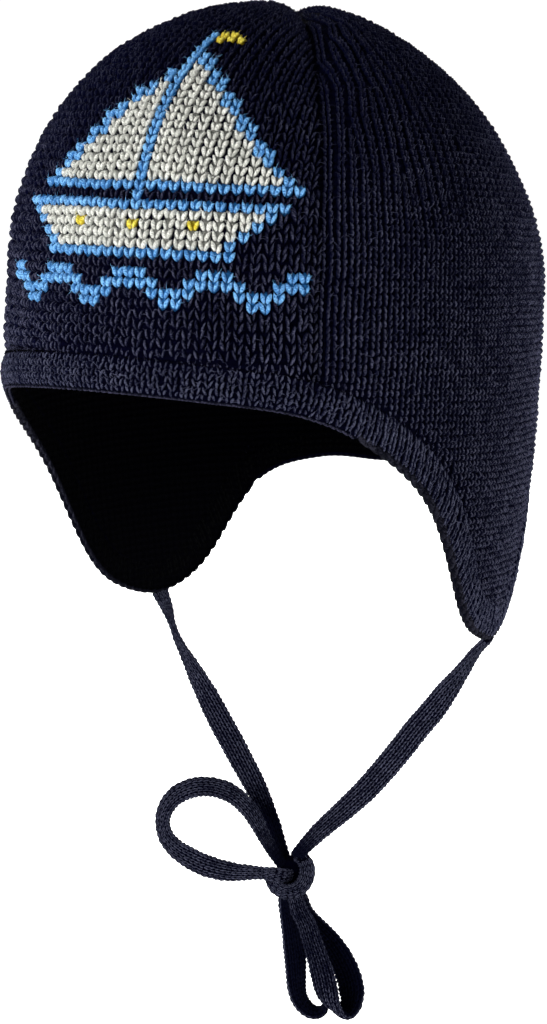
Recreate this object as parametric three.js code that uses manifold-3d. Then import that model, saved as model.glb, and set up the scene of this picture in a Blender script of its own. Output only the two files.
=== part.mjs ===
// A knitted baby hat with ear flaps, tied with a bow. Millimetres, +Z up.
// The brow faces -Y and the wearer's left is +X. The origin is inside the top of the crown, where the
// hat rests on a head. The hat sits tilted back a little, and its cords hang straight down from it.
import * as THREE from "three";
import { mergeVertices } from "three/addons/utils/BufferGeometryUtils.js";
import Module from "manifold-3d";

// The shell: level sections are ovals, all of one shape, that shrink towards the top.
const HALF_WIDTH = 66; // outer, ear to ear, at the widest girth
const HALF_LENGTH = 80.4; // outer, brow to nape, at the widest girth
const CROWN_DEPTH = 71.8; // from the top down to the widest girth
const DOME_POWER = 1.93; // of the superellipse that a meridian follows; 2 would be an ellipse
const BROW_POWER = 0.25; // added to it over the brow and taken off over the nape
const BROW_FULLNESS = 0.026; // how much wider the brow half is than the nape half
const FLARE = 0.035; // below the girth the sections first grow a little
const DRAW_IN = 0.061; // and then draw in towards the flaps' tips
const FALL = 60; // the drop below the girth that the last two are given for
const WALL = 2.4; // thickness of the knitted cloth
const TILT_BACK = 3.9; // degrees
const GAP = 0.3; // between neighbouring pieces
const SLIVER = 0.01; // details smaller than this are merged where a piece is trimmed

// Four gores meet at the top. Their seams are pulled into the cloth.
const SEAM_ANGLE = 47.9; // degrees from the middle of the brow, and the same from the nape
const SEAM_DIP = 1.2; // how deep a seam pulls in
const SEAM_REACH = 4.5; // how far from the seam that is felt

// The opening's edge, half way round: degrees from the middle of the brow, and depth below the top.
const EDGE = [
  { angle: 0, depth: 100.1 }, // brow
  { angle: 25, depth: 101.2 },
  { angle: 45, depth: 104.1 },
  { angle: 60, depth: 112.2 }, // the flap begins
  { angle: 75, depth: 127.1 },
  { angle: 90, depth: 155.8 },
  { angle: 102, depth: 164.2 }, // the flap's tip
  { angle: 112, depth: 163.9 },
  { angle: 122, depth: 155.6 },
  { angle: 135, depth: 133 }, // the flap ends
  { angle: 150, depth: 126.1 },
  { angle: 165, depth: 126.2 },
  { angle: 180, depth: 126.2 }, // nape
];

// The band along the edge is knitted double, so it is thicker than the shell and stands out a little.
const BAND_WIDTH = 9.4;
const BAND_PROUD = 0.6; // outside the shell
const BAND_INSIDE = 0.4; // and inside it
const BAND_ROUND = 1.2; // the rounding along its borders

// The cords are flat knitted strips.
const CORD_WIDTH = 7.4;
const CORD_THICKNESS = 2.6;
const KNOT_CENTRE = [-5.5, 6.5, -236.5];
const BOW_TURN = 35.2; // degrees: the bow's front looks that far to the wearer's left
const KNOT_SIZE = [7, 5.8, 6.2]; // half sizes

const DOME_ROWS = 8; // of facets, down each gore
const FALL_ROWS = 6;
const STATIONS_PER_ROW = 4; // along the edge, for each row of the table above

// Cord routes in the bow's own frame: x to its right, y to its back and z up from the knot's centre.
// w is the cord's width there, and turn is how far its flat side is turned from the bow's front.
const TIE_LEFT = [
  { x: 52.3, y: -33, z: 73.4, w: 5.2, turn: -69 },
  { x: 49.1, y: -30, z: 69.3, w: 5.6, turn: -60 },
  { x: 45.7, y: -27, z: 63.5, w: 6.4, turn: -42 },
  { x: 42, y: -24, z: 57.4, w: 7.2, turn: -20 },
  { x: 38.3, y: -21, z: 51.2, w: 7.4, turn: -5 },
  { x: 33.9, y: -18, z: 45, w: 7.4, turn: 0 },
  { x: 29.9, y: -15, z: 38.7, w: 7.4, turn: 0 },
  { x: 25.5, y: -12, z: 32.4, w: 7.2, turn: 5 },
  { x: 20.7, y: -9.3, z: 26.1, w: 7, turn: 8 },
  { x: 14.9, y: -6.5, z: 19.7, w: 6.4, turn: 10 },
  { x: 8.9, y: -4, z: 13.6, w: 5.6, turn: 15 },
  { x: 3.7, y: -1.5, z: 7.5, w: 4.6, turn: 20 },
  { x: 1.5, y: 0, z: 4.2, w: 4, turn: 20 },
];
const TIE_RIGHT = [
  { x: -37.1, y: 34.6, z: 73.6, w: 6, turn: -41 },
  { x: -34.9, y: 33.6, z: 68.4, w: 5.8, turn: -62 },
  { x: -33.5, y: 32.2, z: 64.3, w: 5.6, turn: -88 },
  { x: -31.6, y: 30.1, z: 59.6, w: 5.8, turn: -110 },
  { x: -28.7, y: 27.5, z: 54.5, w: 6.4, turn: -130 },
  { x: -25.6, y: 24.5, z: 49.3, w: 7, turn: -150 },
  { x: -22.6, y: 21.5, z: 44.2, w: 7.4, turn: -165 },
  { x: -19.6, y: 18.5, z: 39.1, w: 7.4, turn: -175 },
  { x: -16.5, y: 15.5, z: 34.1, w: 7.4, turn: -180 },
  { x: -13.5, y: 12.5, z: 29.1, w: 7.2, turn: -180 },
  { x: -10.4, y: 9.5, z: 24, w: 7, turn: -175 },
  { x: -7.7, y: 7, z: 18.9, w: 6.4, turn: -170 },
  { x: -4.9, y: 4.6, z: 12.7, w: 5.4, turn: -168 },
  { x: -2.6, y: 3.2, z: 6.7, w: 4.2, turn: -172 },
  { x: -1, y: 2, z: 2.5, w: 4, turn: -175 },
];
const LOOP_RIGHT = [
  { x: -1.8, y: -0.8, z: 2.2, w: 3.6, turn: 30 },
  { x: -4.4, y: -2.2, z: 6.3, w: 3.8, turn: 35 },
  { x: -7, y: -3.6, z: 11.3, w: 4.8, turn: 45 },
  { x: -9.3, y: -5, z: 16.4, w: 5.6, turn: 45 },
  { x: -12.3, y: -5, z: 20.7, w: 6.2, turn: 45 },
  { x: -16.5, y: -5, z: 24.2, w: 6.6, turn: 48 },
  { x: -22.1, y: -4.5, z: 25.8, w: 7, turn: 52 },
  { x: -28, y: -4, z: 25, w: 7.2, turn: 52 },
  { x: -32.5, y: -3.5, z: 22, w: 7.2, turn: 55 },
  { x: -35, y: -3, z: 17.3, w: 7.4, turn: 60 },
  { x: -34.7, y: -3.5, z: 12.6, w: 7.4, turn: 52 },
  { x: -32, y: -4, z: 8.5, w: 7.4, turn: 35 },
  { x: -27.6, y: -4.5, z: 5.5, w: 7.4, turn: 20 },
  { x: -22.6, y: -5, z: 3.2, w: 7.2, turn: 10 },
  { x: -16.5, y: -5.5, z: 1.9, w: 6.2, turn: 5 },
  { x: -11, y: -5.8, z: 1.7, w: 4.6, turn: 0 },
  { x: -6.8, y: -5.2, z: 1.4, w: 3.8, turn: -10 },
  { x: -3, y: -3.5, z: 0.8, w: 3.6, turn: -10 },
];
const LOOP_LEFT = [
  { x: 1.2, y: -2.5, z: -3.1, w: 4.6, turn: 0 },
  { x: 1.7, y: -3.5, z: -6.5, w: 5, turn: 0 },
  { x: 2.7, y: -4, z: -9.8, w: 5.4, turn: 0 },
  { x: 4.6, y: -4.3, z: -13.2, w: 5.8, turn: 5 },
  { x: 5.9, y: -4.5, z: -17.4, w: 6, turn: 8 },
  { x: 7.6, y: -4.6, z: -22.6, w: 6.5, turn: 10 },
  { x: 9, y: -4.5, z: -27.5, w: 7.3, turn: 12 },
  { x: 10.1, y: -4.2, z: -32.3, w: 7.6, turn: 20 },
  { x: 11.5, y: -3.2, z: -36.7, w: 7.6, turn: 48 },
  { x: 14.4, y: -1, z: -40.5, w: 7.4, turn: 88 },
  { x: 17.1, y: 1.4, z: -39.7, w: 7.4, turn: 130 },
  { x: 17.5, y: 2.8, z: -35.5, w: 7.8, turn: 168 },
  { x: 16.6, y: 3.4, z: -31, w: 7.8, turn: 172 },
  { x: 14.3, y: 3.6, z: -25.8, w: 7.8, turn: 172 },
  { x: 11.1, y: 3.6, z: -20.8, w: 7.2, turn: 170 },
  { x: 7.5, y: 3.2, z: -16.4, w: 6.4, turn: 165 },
  { x: 4.4, y: 2.4, z: -11.8, w: 5.4, turn: 155 },
  { x: 3, y: 1.4, z: -6.3, w: 4.6, turn: 140 },
];
const TAIL = [
  { x: -1.7, y: -1, z: -3.5, w: 4.4, turn: 135 },
  { x: -1.4, y: -0.6, z: -7.7, w: 4.6, turn: 142 },
  { x: -0.7, y: -0.2, z: -11.3, w: 5.4, turn: 145 },
  { x: 0.2, y: 0.2, z: -15.4, w: 6.4, turn: 146 },
  { x: 0.9, y: 0.6, z: -20.2, w: 7.2, turn: 146 },
  { x: 1.6, y: 0.9, z: -24.9, w: 7.4, turn: 150 },
  { x: 1.8, y: 1.2, z: -29.7, w: 7.2, turn: 146 },
  { x: 2.1, y: 1.7, z: -34.2, w: 7, turn: 138 },
  { x: 3.5, y: 2.8, z: -38.7, w: 6.8, turn: 124 },
  { x: 6.8, y: 4.4, z: -41.7, w: 6.8, turn: 110 },
  { x: 10, y: 6.2, z: -41.3, w: 6.8, turn: 84 },
  { x: 10.9, y: 7.6, z: -37.6, w: 6.6, turn: 50 },
  { x: 9.9, y: 8.4, z: -33.2, w: 6.4, turn: 25 },
  { x: 8.1, y: 8.6, z: -28, w: 6.2, turn: 12 },
  { x: 6.2, y: 8.2, z: -22.6, w: 5.8, turn: 10 },
  { x: 4.4, y: 7.4, z: -17.1, w: 5, turn: 12 },
];

const rad = THREE.MathUtils.degToRad;
const wasm = await Module();
wasm.setup();

const navyKnit = new THREE.MeshStandardMaterial({ color: 0x14182c, roughness: 0.95, metalness: 0 });
const navyBand = new THREE.MeshStandardMaterial({ color: 0x1a1f36, roughness: 0.95, metalness: 0 });
const navyCord = new THREE.MeshStandardMaterial({ color: 0x171b30, roughness: 0.95, metalness: 0 });

// A place on the oval girth, at an angle from the middle of the brow.
function girthPoint(angle) {
  const x = HALF_WIDTH * Math.sin(angle) * (1 + BROW_FULLNESS * Math.cos(angle));
  return new THREE.Vector2(x, -HALF_LENGTH * Math.cos(angle));
}

// Arc length round the girth from the middle of the brow, at every quarter of a degree.
const LENGTH_STEP = rad(0.25);
const LENGTH_STEPS = 1440;
const girthLengths = [0];
for (let i = 1; i <= LENGTH_STEPS; i++) {
  const chord = girthPoint(i * LENGTH_STEP).distanceTo(girthPoint((i - 1) * LENGTH_STEP));
  girthLengths.push(girthLengths[i - 1] + chord);
}

function lengthAt(angle) {
  const k = Math.abs(angle) / LENGTH_STEP;
  const i = Math.min(Math.floor(k), LENGTH_STEPS - 1);
  return Math.sign(angle) * THREE.MathUtils.lerp(girthLengths[i], girthLengths[i + 1], k - i);
}

function angleAt(length) {
  const wanted = Math.abs(length);
  let i = 1;
  while (i < LENGTH_STEPS && girthLengths[i] < wanted) i++;
  const part = (wanted - girthLengths[i - 1]) / (girthLengths[i] - girthLengths[i - 1]);
  return Math.sign(length) * (i - 1 + part) * LENGTH_STEP;
}

// How far the section at a depth has shrunk, and how fast that changes with depth. The top is level.
const LEVEL = 1e9;
function section(angle, depth) {
  if (depth <= 0) return { scale: 0, slope: LEVEL };
  if (depth >= CROWN_DEPTH) {
    const q = (depth - CROWN_DEPTH) / FALL;
    return { scale: 1 + FLARE * q - DRAW_IN * q * q, slope: (FLARE - 2 * DRAW_IN * q) / FALL };
  }
  const power = DOME_POWER + BROW_POWER * Math.cos(angle);
  const rest = 1 - depth / CROWN_DEPTH;
  const rise = 1 - rest ** power;
  const slope = (rest ** (power - 1) * rise ** (1 / power - 1)) / CROWN_DEPTH;
  return { scale: rise ** (1 / power), slope };
}

// A point of the shell before it is tilted: on its outer face, or "out" millimetres outside that.
function shellPoint(angle, depth, out = 0) {
  const { scale, slope } = section(angle, depth);
  const girth = girthPoint(angle).multiplyScalar(scale);
  const normal = new THREE.Vector3(Math.sin(angle) / HALF_WIDTH, -Math.cos(angle) / HALF_LENGTH, slope);
  return new THREE.Vector3(girth.x, girth.y, WALL - depth).addScaledVector(normal.normalize(), out);
}

// The edge on the cloth laid flat: x is length round the girth, y is depth.
const edgeRows = [...EDGE.slice(1).reverse().map((row) => ({ ...row, angle: -row.angle })), ...EDGE];
const beyondNape = { angle: 360 - EDGE.at(-2).angle, depth: EDGE.at(-2).depth };
const edgeCurve = new THREE.SplineCurve(
  [{ ...beyondNape, angle: -beyondNape.angle }, ...edgeRows, beyondNape].map(
    ({ angle, depth }) => new THREE.Vector2(lengthAt(rad(angle)), depth),
  ),
);

// Points that run along the edge at a distance from it, from the nape round the right side and back.
function alongEdge(inset, steps) {
  const spans = edgeRows.length + 1;
  return Array.from({ length: steps + 1 }, (_, i) => {
    const at = (1 + (i / steps) * (spans - 2)) / spans;
    const tangent = edgeCurve.getTangent(at);
    return edgeCurve.getPoint(at).add(new THREE.Vector2(tangent.y, -tangent.x).multiplyScalar(inset));
  });
}

// The shell ends a gap above the band, with a column of facets for each of the band's stations.
const EDGE_STEPS = STATIONS_PER_ROW * (edgeRows.length - 1);
const shellBottom = alongEdge(BAND_WIDTH + GAP, EDGE_STEPS);
const stationAngles = shellBottom.map(({ x }) => angleAt(x));

// The depth of the shell's border at an angle. Both sides of the hat are alike.
function bottomAt(angle) {
  const length = lengthAt(Math.PI - Math.abs(Math.PI - Math.abs(angle)));
  const beyond = shellBottom.findIndex(({ x }) => x >= length);
  const i = beyond > 0 ? beyond : EDGE_STEPS;
  const [a, b] = [shellBottom[i - 1], shellBottom[i]];
  return THREE.MathUtils.mapLinear(length, a.x, b.x, a.y, b.y);
}

// A closed surface from corner points, given as lists of three or four that go round each face.
// Faces with corners in one place lose them.
function solidFrom(faces) {
  const positions = [];
  for (const face of faces) {
    const corners = face.filter((p, i) => p.distanceTo(face[(i + 1) % face.length]) > 1e-4);
    for (let i = 2; i < corners.length; i++) {
      for (const p of [corners[0], corners[i - 1], corners[i]]) positions.push(p.x, p.y, p.z);
    }
  }
  const geometry = new THREE.BufferGeometry();
  geometry.setAttribute("position", new THREE.Float32BufferAttribute(positions, 3));
  return geometry;
}

// One gore of the crown: a wall from the top down to the band, between two seams.
function goreGeometry(from, to) {
  const narrowest = rad(1);
  const between = [...stationAngles, ...stationAngles.slice(1).map((angle) => angle + 2 * Math.PI)];
  const columns = [from, ...between.filter((a) => a > from + narrowest && a < to - narrowest), to];
  const last = columns.length - 1;
  const middle = (from + to) / 2;
  const aside = new THREE.Vector3(Math.sin(middle), -Math.cos(middle), 0).multiplyScalar(0.75 * GAP);
  const depthAt = (angle, i) => {
    if (i <= DOME_ROWS) return CROWN_DEPTH * (1 - Math.cos((Math.PI / 2) * (i / DOME_ROWS)));
    return THREE.MathUtils.lerp(CROWN_DEPTH, bottomAt(angle), (i - DOME_ROWS) / FALL_ROWS);
  };
  const sheet = (out) =>
    Array.from({ length: DOME_ROWS + FALL_ROWS + 1 }, (_, i) =>
      columns.map((angle) => {
        const depth = depthAt(angle, i);
        const toSeam = Math.min(lengthAt(angle) - lengthAt(from), lengthAt(to) - lengthAt(angle));
        const near = (toSeam * section(angle, depth).scale) / SEAM_REACH;
        return shellPoint(angle, depth, out - SEAM_DIP * Math.exp(-near * near)).add(aside);
      }),
    );
  const outer = sheet(0);
  const inner = sheet(-WALL);
  const faces = [];
  for (let i = 1; i < outer.length; i++) {
    for (let j = 1; j <= last; j++) {
      faces.push([outer[i - 1][j - 1], outer[i][j - 1], outer[i][j], outer[i - 1][j]]);
      faces.push([inner[i - 1][j], inner[i][j], inner[i][j - 1], inner[i - 1][j - 1]]);
    }
    faces.push([inner[i - 1][0], inner[i][0], outer[i][0], outer[i - 1][0]]);
    faces.push([outer[i - 1][last], outer[i][last], inner[i][last], inner[i - 1][last]]);
  }
  const [border, lining] = [outer.at(-1), inner.at(-1)];
  for (let j = 1; j <= last; j++) faces.push([border[j - 1], lining[j - 1], lining[j], border[j]]);
  return solidFrom(faces);
}

// The band: a rounded strip that follows the edge all the way round, grown by a little or by nothing.
function bandGeometry(grow) {
  const [near, far] = [-grow, BAND_WIDTH + grow];
  const [low, high] = [-WALL - BAND_INSIDE - grow, BAND_PROUD + grow];
  const outline = [
    [near, low + BAND_ROUND],
    [near + BAND_ROUND, low],
    [far - BAND_ROUND, low],
    [far, low + BAND_ROUND],
    [far, high - BAND_ROUND],
    [far - BAND_ROUND, high],
    [near + BAND_ROUND, high],
    [near, high - BAND_ROUND],
  ];
  const rails = outline.map(([inset, out]) =>
    alongEdge(inset, EDGE_STEPS).map(({ x, y }) => shellPoint(angleAt(x), y, out)),
  );
  for (const rail of rails) rail[EDGE_STEPS] = rail[0];
  const faces = [];
  rails.forEach((rail, k) => {
    const next = rails[(k + 1) % rails.length];
    for (let i = 1; i <= EDGE_STEPS; i++) faces.push([rail[i - 1], next[i - 1], next[i], rail[i]]);
  });
  return solidFrom(faces);
}

// A cord's path. Its frames hold the flat side where the route's rows turn it, and its width there.
class FlatCordPath extends THREE.CatmullRomCurve3 {
  constructor(rows) {
    super(rows.map(({ x, y, z }) => new THREE.Vector3(x, y, z)), false, "catmullrom");
    this.rows = rows;
  }

  computeFrenetFrames(steps) {
    const frames = { tangents: [], normals: [], binormals: [] };
    for (let i = 0; i <= steps; i++) {
      const at = this.getUtoTmapping(i / steps) * (this.rows.length - 1);
      const before = this.rows[Math.floor(at)];
      const after = this.rows[Math.ceil(at)];
      const part = at - Math.floor(at);
      const turn = rad(THREE.MathUtils.lerp(before.turn, after.turn, part));
      const width = THREE.MathUtils.lerp(before.w, after.w, part);
      const tangent = this.getTangentAt(i / steps);
      const front = new THREE.Vector3(0, -1, 0);
      front.addScaledVector(tangent, -front.dot(tangent)).normalize().applyAxisAngle(tangent, turn);
      frames.tangents.push(tangent);
      frames.normals.push(tangent.clone().cross(front).multiplyScalar(width / CORD_WIDTH));
      frames.binormals.push(front.negate());
    }
    return frames;
  }
}

// A flat strip with rounded borders, swept along a route.
function cordGeometry(rows, steps) {
  const [w, h] = [CORD_WIDTH / 2, CORD_THICKNESS / 2];
  const corners = [
    [w, 0.35 * h],
    [0.72 * w, h],
    [-0.72 * w, h],
    [-w, 0.35 * h],
    [-w, -0.35 * h],
    [-0.72 * w, -h],
    [0.72 * w, -h],
    [w, -0.35 * h],
  ];
  const shape = new THREE.Shape(corners.map(([x, y]) => new THREE.Vector2(x, y)));
  return new THREE.ExtrudeGeometry(shape, { steps, bevelEnabled: false, extrudePath: new FlatCordPath(rows) });
}

// The knot: a pinched ball, fuller on its left, where one cord is wrapped round the other.
function knotGeometry(grow) {
  const geometry = new THREE.SphereGeometry(1, 18, 12);
  const position = geometry.attributes.position;
  const p = new THREE.Vector3();
  for (let i = 0; i < position.count; i++) {
    p.fromBufferAttribute(position, i);
    const lobe = 1 + 0.1 * p.x * (1 + p.z) - 0.08 * Math.cos(4 * Math.atan2(p.z, p.x)) * (1 - p.y * p.y);
    const size = new THREE.Vector3(...KNOT_SIZE).addScalar(grow);
    p.multiply(size).multiplyScalar(lobe);
    position.setXYZ(i, p.x, p.y, p.z);
  }
  return geometry;
}

function toManifold(geometry) {
  const bare = new THREE.BufferGeometry();
  bare.setAttribute("position", geometry.getAttribute("position"));
  if (geometry.index) bare.setIndex(geometry.index);
  const merged = mergeVertices(bare, 1e-3);
  return new wasm.Manifold(
    new wasm.Mesh({
      numProp: 3,
      vertProperties: merged.attributes.position.array,
      triVerts: new Uint32Array(merged.index.array),
    }),
  );
}

function fromManifold(solid) {
  const { vertProperties, triVerts } = solid.getMesh();
  const geometry = new THREE.BufferGeometry();
  geometry.setAttribute("position", new THREE.BufferAttribute(vertProperties, 3));
  geometry.setIndex(new THREE.BufferAttribute(triVerts, 1));
  return geometry;
}

function named(name, geometry, material) {
  const mesh = new THREE.Mesh(geometry, material);
  mesh.name = name;
  return mesh;
}

const hat = new THREE.Group();

const shell = new THREE.Group();
shell.rotation.x = -rad(TILT_BACK);
hat.add(shell);
const seam = rad(SEAM_ANGLE);
const gores = {
  crown_front: [-seam, seam],
  crown_left: [seam, Math.PI - seam],
  crown_back: [Math.PI - seam, Math.PI + seam],
  crown_right: [seam - Math.PI, -seam],
};
for (const [name, [from, to]] of Object.entries(gores)) {
  shell.add(named(name, goreGeometry(from, to), navyKnit));
}
shell.add(named("edge_band", bandGeometry(0), navyBand));

// The cords end a gap short of the knot, and the ties start a gap below the band.
const bow = new THREE.Group();
bow.position.set(...KNOT_CENTRE);
bow.rotation.z = rad(BOW_TURN);
hat.add(bow);
bow.add(named("bow_knot", knotGeometry(0), navyCord));
hat.updateMatrixWorld(true);
const fromShell = bow.matrixWorld.clone().invert().multiply(shell.matrixWorld);
const room = toManifold(knotGeometry(GAP)).add(toManifold(bandGeometry(GAP).applyMatrix4(fromShell)));
const cords = {
  tie_left: [TIE_LEFT, 17],
  tie_right: [TIE_RIGHT, 16],
  bow_loop_right: [LOOP_RIGHT, 18],
  bow_loop_left: [LOOP_LEFT, 17],
  bow_tail: [TAIL, 13],
};
for (const [name, [rows, steps]] of Object.entries(cords)) {
  const strip = toManifold(cordGeometry(rows, steps)).subtract(room).simplify(SLIVER);
  bow.add(named(name, fromManifold(strip), navyCord));
}

export default hat;
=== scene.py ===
# %% [markdown]
# # A knitted baby hat
# Four gores of stocking stitch meet at the top of the hat, a band runs round its opening, and flat
# knitted cords hang from the ear flaps to a bow. The stitches are real geometry: each is two
# leaf-shaped legs of yarn that lie on a dark cloth. Sizes are in millimetres until a mesh is made.

# %% The frame and the shared names
from functools import partial

import bpy
import numpy as np
from mathutils import Matrix


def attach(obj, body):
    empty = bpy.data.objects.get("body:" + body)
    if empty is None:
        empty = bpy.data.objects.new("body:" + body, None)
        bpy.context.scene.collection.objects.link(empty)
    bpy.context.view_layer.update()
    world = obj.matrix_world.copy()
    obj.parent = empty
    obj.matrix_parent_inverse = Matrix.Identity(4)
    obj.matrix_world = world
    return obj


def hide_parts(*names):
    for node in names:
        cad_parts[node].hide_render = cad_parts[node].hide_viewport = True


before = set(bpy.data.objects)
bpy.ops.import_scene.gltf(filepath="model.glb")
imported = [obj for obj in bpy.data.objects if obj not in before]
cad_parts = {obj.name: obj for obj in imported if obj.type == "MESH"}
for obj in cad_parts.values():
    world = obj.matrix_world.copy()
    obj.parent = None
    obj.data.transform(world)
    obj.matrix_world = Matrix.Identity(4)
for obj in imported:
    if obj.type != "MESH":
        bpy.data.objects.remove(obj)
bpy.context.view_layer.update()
MM = 0.001
rng = np.random.default_rng(7)
print("solids in the frame:", len(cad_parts))

# %% [markdown]
# ## Camera
# The picture is taken from 35 degrees to the wearer's left and a little above. Its middle is given as
# shifts from the girth's middle, so that the lens and the distance can change without moving it.

# %% The camera
AZIMUTH = np.radians(35.2)
ELEVATION = np.radians(9.3)
DISTANCE = 800.0
HALF_VIEW = 135.7  # half of the picture's height, at that distance
SENSOR = 24.0
ACROSS, RISE = -2.53, -62.8  # the picture's middle, from the middle of the widest girth
GIRTH_MIDDLE = np.array([0.0, -4.72, -69.24])


def view_axes():
    """The picture's right, its up, and the way back to the camera."""
    right = np.array([np.cos(AZIMUTH), np.sin(AZIMUTH), 0.0])
    level = np.cos(ELEVATION)
    back = np.array([np.sin(AZIMUTH) * level, -np.cos(AZIMUTH) * level, np.sin(ELEVATION)])
    return right, np.cross(back, right), back


def make_camera():
    """The camera: its lens is half the sensor times the distance over half the view."""
    right, up, back = view_axes()
    place = GIRTH_MIDDLE + ACROSS * right + RISE * up + DISTANCE * back
    data = bpy.data.cameras.new("camera")
    data.sensor_fit = "VERTICAL"
    data.sensor_height = SENSOR
    data.lens = SENSOR / 2 * DISTANCE / HALF_VIEW
    data.clip_start = 0.01
    camera = bpy.data.objects.new("camera", data)
    bpy.context.scene.collection.objects.link(camera)
    turn = Matrix(np.stack([right, up, back], axis=1).tolist()).to_4x4()
    camera.matrix_world = Matrix.Translation(place * MM) @ turn
    bpy.context.scene.camera = camera


make_camera()
print("lens", round(bpy.context.scene.camera.data.lens, 2))

# %% [markdown]
# ## The hat's form
# A worn hat takes the head's form. It could be sculpted, but level ovals of one shape that shrink
# towards the top need few numbers, and every stitch can then be placed by angle and depth. The whole
# shell is tilted back. The edge is a smooth curve on the cloth laid flat.

# %% The shell
HALF_WIDTH = 66.0
HALF_LENGTH = 80.4
CROWN_DEPTH = 71.8
DOME_POWER = 1.93
BROW_POWER = 0.25
BROW_FULLNESS = 0.026
FLARE = 0.035
DRAW_IN = 0.061
FALL = 60.0
WALL = 2.4
TILT_BACK = np.radians(3.9)
TOP = 1e-4  # the smallest depth that has a section

EDGE = [
    {"angle": 0, "depth": 100.1},
    {"angle": 25, "depth": 101.2},
    {"angle": 45, "depth": 104.1},
    {"angle": 60, "depth": 112.2},
    {"angle": 75, "depth": 127.1},
    {"angle": 90, "depth": 155.8},
    {"angle": 102, "depth": 164.2},
    {"angle": 112, "depth": 163.9},
    {"angle": 122, "depth": 155.6},
    {"angle": 135, "depth": 133.0},
    {"angle": 150, "depth": 126.1},
    {"angle": 165, "depth": 126.2},
    {"angle": 180, "depth": 126.2},
]
BAND_WIDTH = 9.4

ANGLES = np.radians(np.arange(-400, 400.01, 0.25))


def girth_point(angle):
    """The widest section: x = A sin(a) (1 + f cos(a)) and y = -B cos(a), with a from the brow."""
    x = HALF_WIDTH * np.sin(angle) * (1 + BROW_FULLNESS * np.cos(angle))
    return x, -HALF_LENGTH * np.cos(angle)


def girth_lengths():
    """Arc length round the girth at ANGLES, from the middle of the brow."""
    x, y = girth_point(ANGLES)
    length = np.concatenate([[0.0], np.cumsum(np.hypot(np.diff(x), np.diff(y)))])
    return length - np.interp(0.0, ANGLES, length)


LENGTHS = girth_lengths()


def length_at(angle):
    """Arc length round the girth at an angle, read off between the nearest two."""
    return np.interp(angle, ANGLES, LENGTHS)


def angle_at(length):
    """The angle at an arc length round the girth, read off between the nearest two."""
    return np.interp(length, LENGTHS, ANGLES)


def section(angle, depth):
    """How far the section at a depth has shrunk, and how fast that changes with depth.

    Over the dome it is a superellipse, s = (1 - (1 - d/D)^p)^(1/p), with p a little larger at the brow.
    Below the girth it is the parabola s = 1 + FLARE q - DRAW_IN q^2.
    """
    power = DOME_POWER + BROW_POWER * np.cos(angle)
    rest = 1 - np.clip(depth, TOP, CROWN_DEPTH) / CROWN_DEPTH
    rise = 1 - rest**power
    fall = np.clip(depth - CROWN_DEPTH, 0, None) / FALL
    scale = rise ** (1 / power) * (1 + FLARE * fall - DRAW_IN * fall**2)
    dome_slope = rest ** (power - 1) * rise ** (1 / power - 1) / CROWN_DEPTH
    slope = np.where(fall > 0, (FLARE - 2 * DRAW_IN * fall) / FALL, dome_slope)
    return scale, slope


def tilted(vectors):
    """Vectors turned about x by the hat's tilt back."""
    x, y, z = np.moveaxis(vectors, -1, 0)
    c, s = np.cos(TILT_BACK), np.sin(TILT_BACK)
    return np.stack([x, y * c + z * s, z * c - y * s], axis=-1)


def shell(angle, depth, out=0.0):
    """Points "out" millimetres outside the hat's outer face, and the outward normals there."""
    scale, slope = section(angle, depth)
    x, y = girth_point(angle)
    point = np.stack(np.broadcast_arrays(x * scale, y * scale, WALL - depth), axis=-1)
    across = [np.sin(angle) / HALF_WIDTH, -np.cos(angle) / HALF_LENGTH, slope]
    normal = np.stack(np.broadcast_arrays(*across), axis=-1)
    normal = normal / np.linalg.norm(normal, axis=-1, keepdims=True)
    return tilted(point + normal * np.asarray(out)[..., None]), tilted(normal)


def curve_through(rows, samples):
    """A uniform Catmull-Rom curve through rows of numbers, with the end rows reflected."""
    rows = np.asarray(rows, float)
    rows = np.vstack([2 * rows[0] - rows[1], rows, 2 * rows[-1] - rows[-2]])
    at = np.linspace(1, len(rows) - 2, samples)
    i = np.minimum(at.astype(int), len(rows) - 3)
    w = (at - i)[:, None]
    a, b, c, d = rows[i - 1], rows[i], rows[i + 1], rows[i + 2]
    return b + w / 2 * (c - a + w * (2 * a - 5 * b + 4 * c - d + w * (3 * (b - c) + d - a)))


def lengths_along(points):
    """Running length along a row of points: the sum of the steps so far."""
    steps = np.linalg.norm(np.diff(points, axis=0), axis=1)
    return np.concatenate([[0.0], np.cumsum(steps)])


# %% The edge
# The edge on the cloth laid flat, from the nape round the right side and back: (girth length, depth).
half = [(row["angle"], row["depth"]) for row in EDGE]
last_angle, last_depth = half[-2]
whole = [(last_angle - 360, last_depth)] + [(-a, d) for a, d in half[:0:-1]]
whole += half + [(360 - last_angle, last_depth)]
spans = 100
flat_edge = curve_through([(length_at(np.radians(a)), d) for a, d in whole], (len(whole) - 1) * spans + 1)
FLAT_EDGE = flat_edge[spans:-spans]
EDGE_LENGTHS = lengths_along(FLAT_EDGE)
EDGE_LENGTH = EDGE_LENGTHS[-1]
EDGE_DIRECTION = np.gradient(FLAT_EDGE, EDGE_LENGTHS, axis=0)
print("edge", round(EDGE_LENGTH), "mm, girth", round(float(length_at(np.pi)) * 2), "mm")


def by_edge(along, inset):
    """Girth length and depth of the places "inset" up from the edge, "along" it from the nape."""
    along = np.mod(along, EDGE_LENGTH)
    foot = [np.interp(along, EDGE_LENGTHS, FLAT_EDGE[:, k]) for k in (0, 1)]
    way = [np.interp(along, EDGE_LENGTHS, EDGE_DIRECTION[:, k]) for k in (0, 1)]
    size = np.hypot(*way)
    return foot[0] + inset * way[1] / size, foot[1] - inset * way[0] / size


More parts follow.
